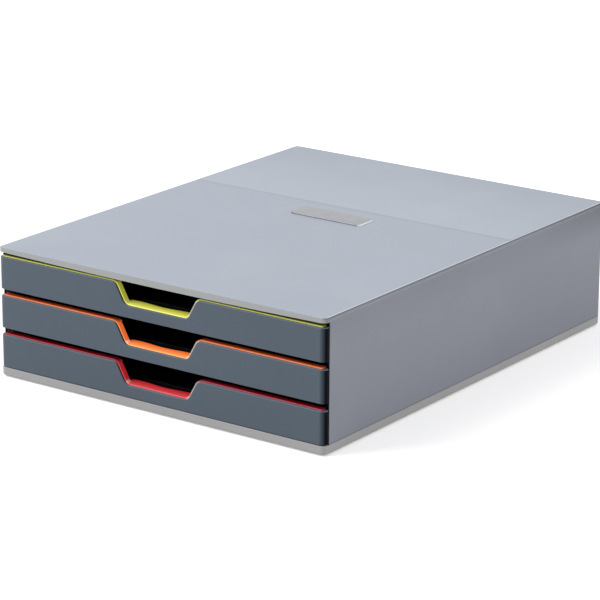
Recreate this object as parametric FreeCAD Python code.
import FreeCAD, Part
import math
import os
from FreeCAD import Vector

# Desktop drawer box for C4 and A4 paper: a grey housing with three drawers that pull out towards -Y.
# Millimetres. X runs along the width, -Y is the front, +Z is up. The origin is on the desk, under the
# middle of the box.

# Overall size
body_width = 280.0
body_depth = 356.0
body_height = 95.0
inner_radius = 1.5           # upright corners inside the walls; the outside is concentric with it

# Housing
wall = 2.5                   # side panels and back panel
cover_thickness = 2.5
cover_edge_radius = 0.6
lip_height = 4.8             # front lip of the cover, from its top to the middle of its bowed lower edge
lip_end_height = 3.3         # the same at the two ends of the lip
lip_wall = 3.0
rear_rise = 0.25             # height of the crease where the raised rear third of the cover starts
rear_length = 131.0          # raised rear third, from the crease to the back of the cover
rear_margin = 1.2            # plain border beside the raised third
crease_ramp = 2.0            # depth of the ramp that leads up to the crease
snap_rib_height = 3.0        # ribs under the cover that grip the inside of the side panels
snap_rib_width = 2.0
snap_rib_setback = 25.0      # from the front and back of the housing
corner_return = 12.0         # how far the side panels turn round the rear corners
back_tongue = 1.5            # thickness of the rebate tongue inside the back panel
back_overlap = 5.0           # how far the tongue reaches behind each corner return
seam = 0.2                   # gap between housing panels that butt together
panel_edge_radius = 0.6

# Base plate
foot_stand = 1.1             # gap between the desk and the base plate's skirt
base_height = 6.0
base_deck = 2.5
base_skirt = 2.5
base_lower_radius = 1.0
base_upper_radius = 0.3
base_rib_thickness = 1.6
base_rib_height = 2.0
base_rib_spacing = 70.0

# Feet
foot_radius = 7.0
foot_edge_radius = 0.8
foot_boss_radius = 9.0
foot_boss_drop = 1.8         # foot boss below the deck
foot_stem_radius = 3.0
foot_stem_length = 2.0
foot_inset = 24.0            # foot centres from the sides, the front and the back

# Drawers
drawer_names = ["bottom_drawer", "middle_drawer", "top_drawer"]
front_gap = 4.8              # open gap between one front and the next
lip_gap = 1.8                # least gap between the top front and the cover's lip
base_gap = 0.6               # gap between the lowest front and the base plate
front_thickness = 3.0
front_end_flat = 0.7         # flat end of the front behind its rounded corner
front_return_width = 3.0
front_inset = 0.5            # fronts are narrower than the housing by this at each end
front_bevel = 1.1
rim_land = 0.1               # flat left on the rim of the front behind its bevel
front_lower_radius = 0.5
return_gap = 0.6             # gap between the ends of the fronts and the side panels
pull_out = 250.0             # travel of each drawer up to its stop

# Finger cut-out in each front
grip_top_width = 69.8
grip_bottom_width = 53.0
grip_depth = 15.0
grip_upper_radius = 5.5
grip_lower_radius = 6.0

# Coloured grip strip
strip_thickness = 1.6
strip_proud = 0.7            # strip above the rim of the front
strip_overhang = 1.0         # straight strip past the tray's front wall
slant_setback = 0.3          # slanted strip short of the back of the tray's front wall
strip_end_inset = 3.0        # strip ends short of the ends of the front
strip_edge_radius = 0.4
ledge_reach = 5.5            # finger ledge past the tray's front wall
ledge_width = 58.0
ledge_notch = 1.3            # shallow hollow in the middle of the ledge's back edge

# Trays
tray_wall = 1.8
tray_floor = 1.8
tray_front_wall = 2.5
tray_lift = 0.8              # underside of the tray above the bottom of the front
tray_corner_radius = 7.0
tray_floor_radius = 1.5
tray_rear_gap = 2.1          # between the tray and the back panel's tongue
flange_drop = 2.0            # flange top below the top of the front
flange_thickness = 1.6
flange_start = 10.0          # flange begins this far behind the front plane
finger_rib_depth = 21.0      # low rib on the tray floor behind the grip, from the front plane
finger_rib_height = 4.8
finger_rib_thickness = 1.6

# Runner frames
runner_plate = 1.5
runner_setback = 4.0         # behind the front edge and ahead of the back end of the side panel
runner_reach = 5.0           # ledges and guides stand out from the plate
ledge_rail_thickness = 2.0
guide_thickness = 1.5
run_clearance = 0.3          # sliding clearance between tray flange and groove
side_clearance = 0.5         # between the tray's wall and the edges of ledges and guides
flange_side_clearance = 0.6  # between the flange's edge and the runner plate
guide_lead = 8.0             # guides start this far behind the front of the runner frame
runner_foot_gap = 1.5        # between the screw bosses and the runner plate above them
nub_length = 6.0             # stop nub on the tray's wall
nub_height = 6.0
nub_reach = 3.5
nub_below_flange = 4.0
stop_length = 6.0            # stop block on the runner plate

# Screws
screw_radius = 1.45
screw_head_radius = 2.6
screw_head_height = 1.6
hole_clearance = 0.05        # radial, between a screw or foot stem and its hole
screw_boss_radius = 3.2
screw_boss_height = 8.0
base_screw_length = 7.5
panel_flange_width = 6.0     # flange along the foot of each side panel
base_screw_rows = [-140.0, 0.0, 140.0]
runner_screw_radius = 1.25
runner_screw_rows = [-130.0, 130.0]
runner_screw_bite = 1.8      # depth of the runner screws in the side panel
runner_screw_below_rail = 4.0
drawer_screw_bite = 1.8      # depth of the drawer screws in the front
drawer_screw_spacing = 184.0

# Emblem plate
emblem_width = 62.0
emblem_length = 21.0
emblem_thickness = 1.0
emblem_bevel = 0.6
emblem_corner_radius = 4.0
emblem_crease_gap = 12.0     # between the plate and the crease
emblem_aside = 2.5           # middle of the plate to the right of the cover's centre line

# Places nearer to each other than this count as one place
same_place = 1e-6

# Heights, lengths and faces worked out from the sizes above
plan_radius = inner_radius + wall
front_return = plan_radius + front_end_flat
front_rim = front_bevel + rim_land
tray_wall_back = front_thickness + tray_front_wall
grip_slope = math.atan((grip_top_width - grip_bottom_width) / 2 / grip_depth)
strip_under = strip_thickness - strip_proud
front_y = -body_depth / 2
back_y = body_depth / 2
side_x = body_width / 2
base_top = foot_stand + base_height
deck_bottom = base_top - base_deck
cover_bottom = body_height - cover_thickness
lip_bottom = body_height - lip_height
drawer_count = len(drawer_names)
drawer_space = lip_bottom - lip_gap - base_top - base_gap
front_height = (drawer_space - (drawer_count - 1) * front_gap) / drawer_count
drawer_pitch = front_height + front_gap
front_half = side_x - front_inset
panel_front_y = front_y + front_return + return_gap
panel_inner_x = side_x - wall
inner_back_y = back_y - wall
rear_y = back_y - rear_length
plate_inner_x = panel_inner_x - runner_plate
rail_tip_x = plate_inner_x - runner_reach
tray_half = rail_tip_x - side_clearance
flange_half = plate_inner_x - flange_side_clearance
tray_front_y = front_y + front_thickness
tray_back_y = inner_back_y - back_tongue - tray_rear_gap
runner_front_y = panel_front_y + runner_setback
runner_back_y = inner_back_y - runner_setback
runner_bottom = base_top + screw_boss_height + runner_foot_gap
runner_top = cover_bottom - snap_rib_height - 2 * seam
strip_half = front_half - strip_end_inset
screw_x = panel_inner_x - panel_flange_width / 2
foot_x = side_x - foot_inset
foot_y = back_y - foot_inset
foot_seat = deck_bottom - foot_boss_drop
nub_back_y = tray_back_y - tray_corner_radius


def block(x0, x1, y0, y1, z0, z1):
    """A box between two limits along each axis."""
    return Part.makeBox(x1 - x0, y1 - y0, z1 - z0, Vector(x0, y0, z0))


def is_upright(edge):
    """True for an edge that stands parallel to Z."""
    ends = [v.Point for v in edge.Vertexes]
    return len(ends) == 2 and math.hypot(ends[0].x - ends[1].x, ends[0].y - ends[1].y) < same_place


def rounded_block(half_x, y0, y1, z0, z1, radius):
    """A block centred on X whose four upright corners are rounded."""
    shape = block(-half_x, half_x, y0, y1, z0, z1)
    return shape.makeFillet(radius, [e for e in shape.Edges if is_upright(e)])


def edges_at_height(shape, z):
    """All edges that lie in the level plane at z."""
    return [e for e in shape.Edges
            if abs(e.BoundBox.ZMin - z) < same_place and abs(e.BoundBox.ZMax - z) < same_place]


def upright_cylinder(radius, x, y, z0, z1):
    return Part.makeCylinder(radius, z1 - z0, Vector(x, y, z0))


def drawer_bottom(index):
    """Height of the lower edge of a drawer front, counted from the lowest drawer."""
    return base_top + base_gap + index * drawer_pitch


def front_top(index):
    return drawer_bottom(index) + front_height


def flange_top(index):
    return front_top(index) - flange_drop


def corner_arc(corner, before, after, radius):
    """The arc that rounds the corner between two straight runs, as its two tangent points and its middle."""
    to_before = (before - corner).normalize()
    to_after = (after - corner).normalize()
    half_angle = to_before.getAngle(to_after) / 2
    tangent = radius / math.tan(half_angle)
    middle_way = (to_before + to_after).normalize()
    centre = corner + middle_way * (radius / math.sin(half_angle))
    return corner + to_before * tangent, centre - middle_way * radius, corner + to_after * tangent


def space_above_contour(index, inset, y0, y1):
    """The space above a front's upper contour, from y0 to y1, with the contour moved into the front by inset.

    The contour runs level, turns down the slanted sides of the finger cut-out and crosses its floor.
    """
    shift = inset * (1 - math.sin(grip_slope)) / math.cos(grip_slope)
    level = front_top(index) - inset
    floor = level - grip_depth
    far = body_width
    above = level + front_height
    half_top = grip_top_width / 2 + shift
    half_floor = grip_bottom_width / 2 + shift
    path = [Vector(-far, y0, level), Vector(-half_top, y0, level), Vector(-half_floor, y0, floor),
            Vector(half_floor, y0, floor), Vector(half_top, y0, level), Vector(far, y0, level)]
    radii = [grip_upper_radius - inset, grip_lower_radius + inset, grip_lower_radius + inset,
             grip_upper_radius - inset]
    edges = []
    start = path[0]
    for number, radius in enumerate(radii):
        first, middle, last = corner_arc(path[number + 1], path[number], path[number + 2], radius)
        edges.append(Part.makeLine(start, first))
        edges.append(Part.Arc(first, middle, last).toShape())
        start = last
    edges.append(Part.makeLine(start, path[5]))
    edges.append(Part.makeLine(path[5], Vector(far, y0, above)))
    edges.append(Part.makeLine(Vector(far, y0, above), Vector(-far, y0, above)))
    edges.append(Part.makeLine(Vector(-far, y0, above), path[0]))
    return Part.Face(Part.Wire(edges)).extrude(Vector(0, y1 - y0, 0))


def mirrored(shape):
    """The left-hand copy of a right-hand piece."""
    return shape.mirror(Vector(0, 0, 0), Vector(1, 0, 0))


def both_sides(shapes):
    return shapes + [mirrored(s) for s in shapes]


def space_under_lip():
    """The space below the lip's lower edge, a shallow arc that hangs lowest in the middle."""
    end_height = body_height - lip_end_height
    left = Vector(-side_x, front_y, end_height)
    right = Vector(side_x, front_y, end_height)
    arc = Part.Arc(left, Vector(0, front_y, lip_bottom), right).toShape()
    low = Vector(0, 0, -2 * lip_height)
    rest = Part.makePolygon([right, right + low, left + low, left])
    return Part.Face(Part.Wire([arc] + rest.Edges)).extrude(Vector(0, panel_front_y - front_y, 0))


def top_cover():
    """Sheet with a rounded rim, a raised rear third, a bowed front lip, and ribs inside the side panels."""
    below_lip = lip_bottom - lip_height
    cover = rounded_block(side_x, front_y, back_y, below_lip, body_height, plan_radius)
    cover = cover.makeFillet(cover_edge_radius, edges_at_height(cover, body_height))
    cover = cover.cut(block(-side_x, side_x, panel_front_y, back_y, below_lip, cover_bottom))
    hollow_x = panel_inner_x - panel_flange_width
    cover = cover.cut(block(-hollow_x, hollow_x, front_y + lip_wall, panel_front_y, below_lip, cover_bottom))
    cover = cover.cut(space_under_lip())
    rise_half = side_x - rear_margin
    rise_end = back_y - rear_margin
    side_view = [Vector(-rise_half, rear_y, cover_bottom), Vector(-rise_half, rear_y, body_height),
                 Vector(-rise_half, rear_y + crease_ramp, body_height + rear_rise),
                 Vector(-rise_half, rise_end, body_height), Vector(-rise_half, rise_end, cover_bottom)]
    wedge = Part.Face(Part.makePolygon(side_view + side_view[:1])).extrude(Vector(2 * rise_half, 0, 0))
    rib_x = panel_inner_x - seam
    rib = block(rib_x - snap_rib_width, rib_x, front_y + snap_rib_setback, back_y - snap_rib_setback,
                cover_bottom - snap_rib_height, cover_bottom)
    return cover.multiFuse([wedge] + both_sides([rib])).removeSplitter()


def emblem_plate():
    """Bare bevelled metal plate that lies on the cover just ahead of the crease."""
    back = rear_y - emblem_crease_gap
    plate = rounded_block(emblem_width / 2, back - emblem_length, back, body_height,
                          body_height + emblem_thickness, emblem_corner_radius)
    plate = plate.makeChamfer(emblem_bevel, edges_at_height(plate, body_height + emblem_thickness))
    return plate.translated(Vector(emblem_aside, 0, 0))


def housing_ring():
    """The upright walls of the housing as one closed ring, which the panels are cut from."""
    outer = rounded_block(side_x, front_y, back_y, base_top, cover_bottom, plan_radius)
    inner = rounded_block(panel_inner_x, front_y + wall, inner_back_y, base_top, cover_bottom, inner_radius)
    return outer.cut(inner)


def runner_screw_heights():
    """One row of runner screws under the rail of each drawer."""
    return [flange_top(i) - flange_thickness - ledge_rail_thickness - runner_screw_below_rail
            for i in range(drawer_count)]


def right_side_panel():
    """Wall that turns round the rear corner, with a foot flange and screw bosses on the base plate."""
    area = block(side_x - corner_return, side_x, panel_front_y, back_y, base_top, cover_bottom)
    panel = housing_ring().common(area)
    front_edge = [e for e in panel.Edges if is_upright(e) and e.BoundBox.YMax < panel_front_y + same_place
                  and e.BoundBox.XMin > side_x - same_place]
    panel = panel.makeFillet(panel_edge_radius, front_edge)
    flange = block(panel_inner_x - panel_flange_width, panel_inner_x, panel_front_y, inner_back_y,
                   base_top, base_top + wall)
    bosses = [upright_cylinder(screw_boss_radius, screw_x, y, base_top, base_top + screw_boss_height)
              for y in base_screw_rows]
    panel = panel.multiFuse([flange] + bosses).removeSplitter()
    hole_radius = screw_radius + hole_clearance
    hole_top = deck_bottom + base_screw_length + seam
    holes = [upright_cylinder(hole_radius, screw_x, y, base_top, hole_top) for y in base_screw_rows]
    pilot_radius = runner_screw_radius + hole_clearance
    pilot_depth = runner_screw_bite + seam
    holes += [Part.makeCylinder(pilot_radius, pilot_depth, Vector(panel_inner_x, y, z), Vector(1, 0, 0))
              for z in runner_screw_heights() for y in runner_screw_rows]
    return panel.cut(holes)


def back_panel():
    """Rear wall between the corner returns, with a tongue that reaches behind them."""
    half = side_x - corner_return - seam
    outer = block(-half, half, inner_back_y, back_y, base_top, cover_bottom)
    tongue_half = side_x - corner_return + back_overlap
    tongue = block(-tongue_half, tongue_half, inner_back_y - back_tongue, inner_back_y,
                   base_top + wall + seam, cover_bottom - snap_rib_height)
    return outer.fuse(tongue).removeSplitter()


def foot_places():
    return [(sx * foot_x, sy * foot_y) for sy in (-1, 1) for sx in (-1, 1)]


def base_plate():
    """Deck with a skirt all round, ribs and foot bosses below, and clearance holes for the base screws."""
    plate = rounded_block(side_x, front_y, back_y, foot_stand, base_top, plan_radius)
    plate = plate.makeFillet(base_lower_radius, edges_at_height(plate, foot_stand))
    plate = plate.makeFillet(base_upper_radius, edges_at_height(plate, base_top))
    inner_x = side_x - base_skirt
    inner_y = back_y - base_skirt
    plate = plate.cut(rounded_block(inner_x, -inner_y, inner_y, foot_stand, deck_bottom, inner_radius))
    rib_z = deck_bottom - base_rib_height
    half_rib = base_rib_thickness / 2
    ribs = []
    for step in (-1.5, -0.5, 0.5, 1.5):
        place = step * base_rib_spacing
        ribs.append(block(-inner_x, inner_x, place - half_rib, place + half_rib, rib_z, deck_bottom))
        ribs.append(block(place - half_rib, place + half_rib, -inner_y, inner_y, rib_z, deck_bottom))
    bosses = [upright_cylinder(foot_boss_radius, x, y, foot_seat, deck_bottom) for x, y in foot_places()]
    plate = plate.multiFuse(ribs + bosses).removeSplitter()
    holes = []
    for x, y in foot_places():
        holes.append(upright_cylinder(foot_stem_radius + hole_clearance, x, y, foot_seat,
                                      foot_seat + foot_stem_length + seam))
    for x in (-screw_x, screw_x):
        for y in base_screw_rows:
            holes.append(upright_cylinder(screw_radius + hole_clearance, x, y, deck_bottom, base_top))
    return plate.cut(holes)


def foot(x, y):
    """Rubber disc with a stem pressed up into its boss."""
    disc = upright_cylinder(foot_radius, x, y, 0, foot_seat)
    disc = disc.makeFillet(foot_edge_radius, edges_at_height(disc, 0))
    stem = upright_cylinder(foot_stem_radius, x, y, foot_seat, foot_seat + foot_stem_length)
    return disc.fuse(stem)


def screw(radius, length, seat, direction):
    """Pan-head screw: the underside of its head is at seat, and its shank runs along direction."""
    shank = Part.makeCylinder(radius, length, seat, direction)
    head = Part.makeCylinder(screw_head_radius, screw_head_height, seat, direction * -1)
    rim = [e for e in head.Edges if (e.BoundBox.Center - seat).dot(direction) < same_place - screw_head_height
           and len(e.Vertexes) == 1]
    return head.makeFillet(screw_head_height / 2, rim).fuse(shank).removeSplitter()


def base_screws():
    """Screws that come up through the deck into the side panels' bosses."""
    right = [screw(screw_radius, base_screw_length, Vector(screw_x, y, deck_bottom), Vector(0, 0, 1))
             for y in base_screw_rows]
    return Part.makeCompound(both_sides(right))


def runner_screws():
    """Screws that hold the runner frames to the inner faces of the side panels."""
    right = [screw(runner_screw_radius, runner_plate + runner_screw_bite, Vector(plate_inner_x, y, z),
                   Vector(1, 0, 0))
             for z in runner_screw_heights() for y in runner_screw_rows]
    return Part.makeCompound(both_sides(right))


def right_runner_frame():
    """Liner plate with, for each drawer, a ledge, a guide above it and a stop block."""
    pieces = [block(plate_inner_x, panel_inner_x, runner_front_y, runner_back_y, runner_bottom, runner_top)]
    stop_back = nub_back_y - nub_length - pull_out - run_clearance
    for i in range(drawer_count):
        rail_top = flange_top(i) - flange_thickness - run_clearance
        guide_bottom = flange_top(i) + run_clearance
        nub_top = flange_top(i) - flange_thickness - nub_below_flange
        pieces.append(block(rail_tip_x, plate_inner_x, runner_front_y, runner_back_y,
                            rail_top - ledge_rail_thickness, rail_top))
        pieces.append(block(rail_tip_x, plate_inner_x, runner_front_y + guide_lead, runner_back_y,
                            guide_bottom, guide_bottom + guide_thickness))
        pieces.append(block(rail_tip_x, plate_inner_x, stop_back - stop_length, stop_back,
                            nub_top - nub_height, nub_top))
    frame = pieces[0].multiFuse(pieces[1:]).removeSplitter()
    hole_radius = runner_screw_radius + hole_clearance
    holes = [Part.makeCylinder(hole_radius, runner_plate, Vector(plate_inner_x, y, z), Vector(1, 0, 0))
             for z in runner_screw_heights() for y in runner_screw_rows]
    return frame.cut(holes)


def drawer_screw_place(index):
    """Height of the two drawer screws, half way up the tray's front wall."""
    return drawer_bottom(index) + front_height / 2


def drawer_tray(index):
    """Open tray: floor, four walls, sliding flanges, stop nubs and a low finger rib behind the grip."""
    bottom = drawer_bottom(index) + tray_lift
    top = flange_top(index)
    tray = block(-tray_half, tray_half, tray_front_y, tray_back_y, bottom, top)
    rear_corners = [e for e in tray.Edges if is_upright(e) and e.BoundBox.YMin > tray_back_y - same_place]
    tray = tray.makeFillet(tray_corner_radius, rear_corners)
    pocket = rounded_block(tray_half - tray_wall, tray_front_y + tray_front_wall, tray_back_y - tray_wall,
                           bottom + tray_floor, top + front_height, tray_corner_radius - tray_wall)
    pocket = pocket.makeFillet(tray_floor_radius, edges_at_height(pocket, bottom + tray_floor))
    tray = tray.cut(pocket)
    front_wall = block(-tray_half, tray_half, tray_front_y, tray_front_y + tray_front_wall, bottom,
                       front_top(index))
    flange = block(tray_half, flange_half, front_y + flange_start, nub_back_y, top - flange_thickness, top)
    nub_top = top - flange_thickness - nub_below_flange
    nub = block(tray_half, tray_half + nub_reach, nub_back_y - nub_length, nub_back_y,
                nub_top - nub_height, nub_top)
    rib_front = front_y + finger_rib_depth
    rib = block(-ledge_width / 2, ledge_width / 2, rib_front, rib_front + finger_rib_thickness,
                bottom + tray_floor, bottom + tray_floor + finger_rib_height)
    tray = tray.multiFuse([front_wall, rib] + both_sides([flange, nub])).removeSplitter()
    tray = tray.cut(space_above_contour(index, strip_under, tray_front_y, tray_front_y + tray_front_wall))
    holes = [Part.makeCylinder(screw_radius + hole_clearance, tray_front_wall,
                               Vector(x, tray_front_y, drawer_screw_place(index)), Vector(0, 1, 0))
             for x in (-drawer_screw_spacing / 2, drawer_screw_spacing / 2)]
    return tray.cut(holes)


def drawer_front(index):
    """Slate front with rounded ends, a bevelled upper edge and a rebate behind it for the grip strip."""
    bottom = drawer_bottom(index)
    back = front_y + front_return
    blank = block(-front_half, front_half, front_y, back, bottom, front_top(index) + front_height)
    ends = [e for e in blank.Edges if is_upright(e) and e.BoundBox.YMax < front_y + same_place]
    blank = blank.makeFillet(plan_radius, ends)
    lower = [e for e in edges_at_height(blank, bottom) if e.BoundBox.YMin < back - same_place]
    blank = blank.makeFillet(front_lower_radius, lower)
    front = blank.cut(space_above_contour(index, 0.0, front_y - front_rim, back + front_rim))
    front = front.makeFillet(front_bevel, upper_front_edges(front, bottom, back))
    behind = block(-front_half + front_return_width, front_half - front_return_width, tray_front_y, back,
                   bottom, front_top(index))
    rebate = space_above_contour(index, strip_under, front_y + front_rim, back)
    rebate = rebate.common(block(-strip_half, strip_half, front_y, back, bottom, front_top(index)))
    front = front.cut([behind, rebate])
    holes = [Part.makeCylinder(screw_radius + hole_clearance, drawer_screw_bite + seam,
                               Vector(x, tray_front_y, drawer_screw_place(index)), Vector(0, -1, 0))
             for x in (-drawer_screw_spacing / 2, drawer_screw_spacing / 2)]
    return front.cut(holes)


def upper_front_edges(front, bottom, back):
    """The chain along the upper contour: across the face, round the ends and back along both sides."""
    chain = []
    for edge in front.Edges:
        box = edge.BoundBox
        low = box.ZMin < bottom + front_lower_radius + same_place
        on_back = box.YMin > back - same_place
        runs_back = box.XLength < same_place and box.ZLength < same_place
        at_end = abs(box.XMin) > front_half - same_place
        if not low and not on_back and (at_end or not runs_back):
            chain.append(edge)
    return chain


def grip_strip(index):
    """Coloured saddle on the rim: level runs, slanted sides and a finger ledge at the foot of the cut-out."""
    start = front_y + front_rim
    end = front_y + tray_wall_back + strip_overhang
    low = drawer_bottom(index)
    saddle = block(-strip_half, strip_half, start, end, low, front_top(index) + strip_thickness)
    saddle = saddle.cut(space_above_contour(index, -strip_proud, start, end))
    front_edges = [e for e in saddle.Edges if e.BoundBox.YMax < start + same_place
                   and e.BoundBox.ZMin > low + same_place and not is_upright(e)]
    saddle = saddle.makeFillet(strip_edge_radius, front_edges)
    saddle = saddle.common(space_above_contour(index, strip_under, start, end))
    slant_back = front_y + tray_wall_back - slant_setback
    slant_half = grip_top_width / 2 + grip_upper_radius / 2
    saddle = saddle.cut(block(-slant_half, slant_half, slant_back, end, low, front_top(index) - strip_under))
    return saddle.fuse(finger_ledge(index)).removeSplitter()


def finger_ledge(index):
    """Flat tongue behind the floor of the cut-out, with a gentle hollow in the middle of its back edge.

    Its neck passes over the tray's front wall, and it spreads out behind that wall.
    """
    top = front_top(index) - grip_depth + strip_proud
    low = top - strip_thickness
    half = ledge_width / 2
    neck = grip_bottom_width / 2 - grip_lower_radius * math.tan((math.pi / 2 - grip_slope) / 2)
    root = front_y + front_thickness
    shoulder = front_y + tray_wall_back + seam
    tip = front_y + tray_wall_back + ledge_reach
    wave = Part.BSplineCurve()
    wave.interpolate([Vector(half, tip, low), Vector(half / 2, tip, low), Vector(0, tip - ledge_notch, low),
                      Vector(-half / 2, tip, low), Vector(-half, tip, low)])
    corners = [(-half, tip), (-half, shoulder), (-neck, shoulder), (-neck, root),
               (neck, root), (neck, shoulder), (half, shoulder), (half, tip)]
    sides = Part.makePolygon([Vector(x, y, low) for x, y in corners])
    outline = Part.Wire(sides.Edges + [wave.toShape()])
    ledge = Part.Face(outline).extrude(Vector(0, 0, strip_thickness))
    back_edges = [e for e in edges_at_height(ledge, top) if e.BoundBox.YMax > tip - same_place]
    return ledge.makeFillet(strip_edge_radius, back_edges)


def drawer_screws(index):
    """Two screws from inside the tray into the back of the front."""
    seat_y = tray_front_y + tray_front_wall
    return Part.makeCompound([
        screw(screw_radius, tray_front_wall + drawer_screw_bite, Vector(x, seat_y, drawer_screw_place(index)),
              Vector(0, -1, 0))
        for x in (-drawer_screw_spacing / 2, drawer_screw_spacing / 2)])


def all_pieces():
    """Every named piece of the drawer box."""
    side_panel = right_side_panel()
    runner_frame = right_runner_frame()
    pieces = {
        "top_cover": top_cover(),
        "emblem_plate": emblem_plate(),
        "right_side_panel": side_panel,
        "left_side_panel": mirrored(side_panel),
        "back_panel": back_panel(),
        "base_plate": base_plate(),
        "right_runner_frame": runner_frame,
        "left_runner_frame": mirrored(runner_frame),
        "base_screws": base_screws(),
        "runner_screws": runner_screws(),
    }
    foot_names = ["front_left_foot", "front_right_foot", "back_left_foot", "back_right_foot"]
    for name, (x, y) in zip(foot_names, foot_places()):
        pieces[name] = foot(x, y)
    for index, name in enumerate(drawer_names):
        pieces[name + "_front"] = drawer_front(index)
        pieces[name + "_grip_strip"] = grip_strip(index)
        pieces[name + "_tray"] = drawer_tray(index)
        pieces[name + "_screws"] = drawer_screws(index)
    return pieces


os.makedirs("parts", exist_ok=True)
for node, shape in all_pieces().items():
    shape.exportStep("parts/" + node + ".step")
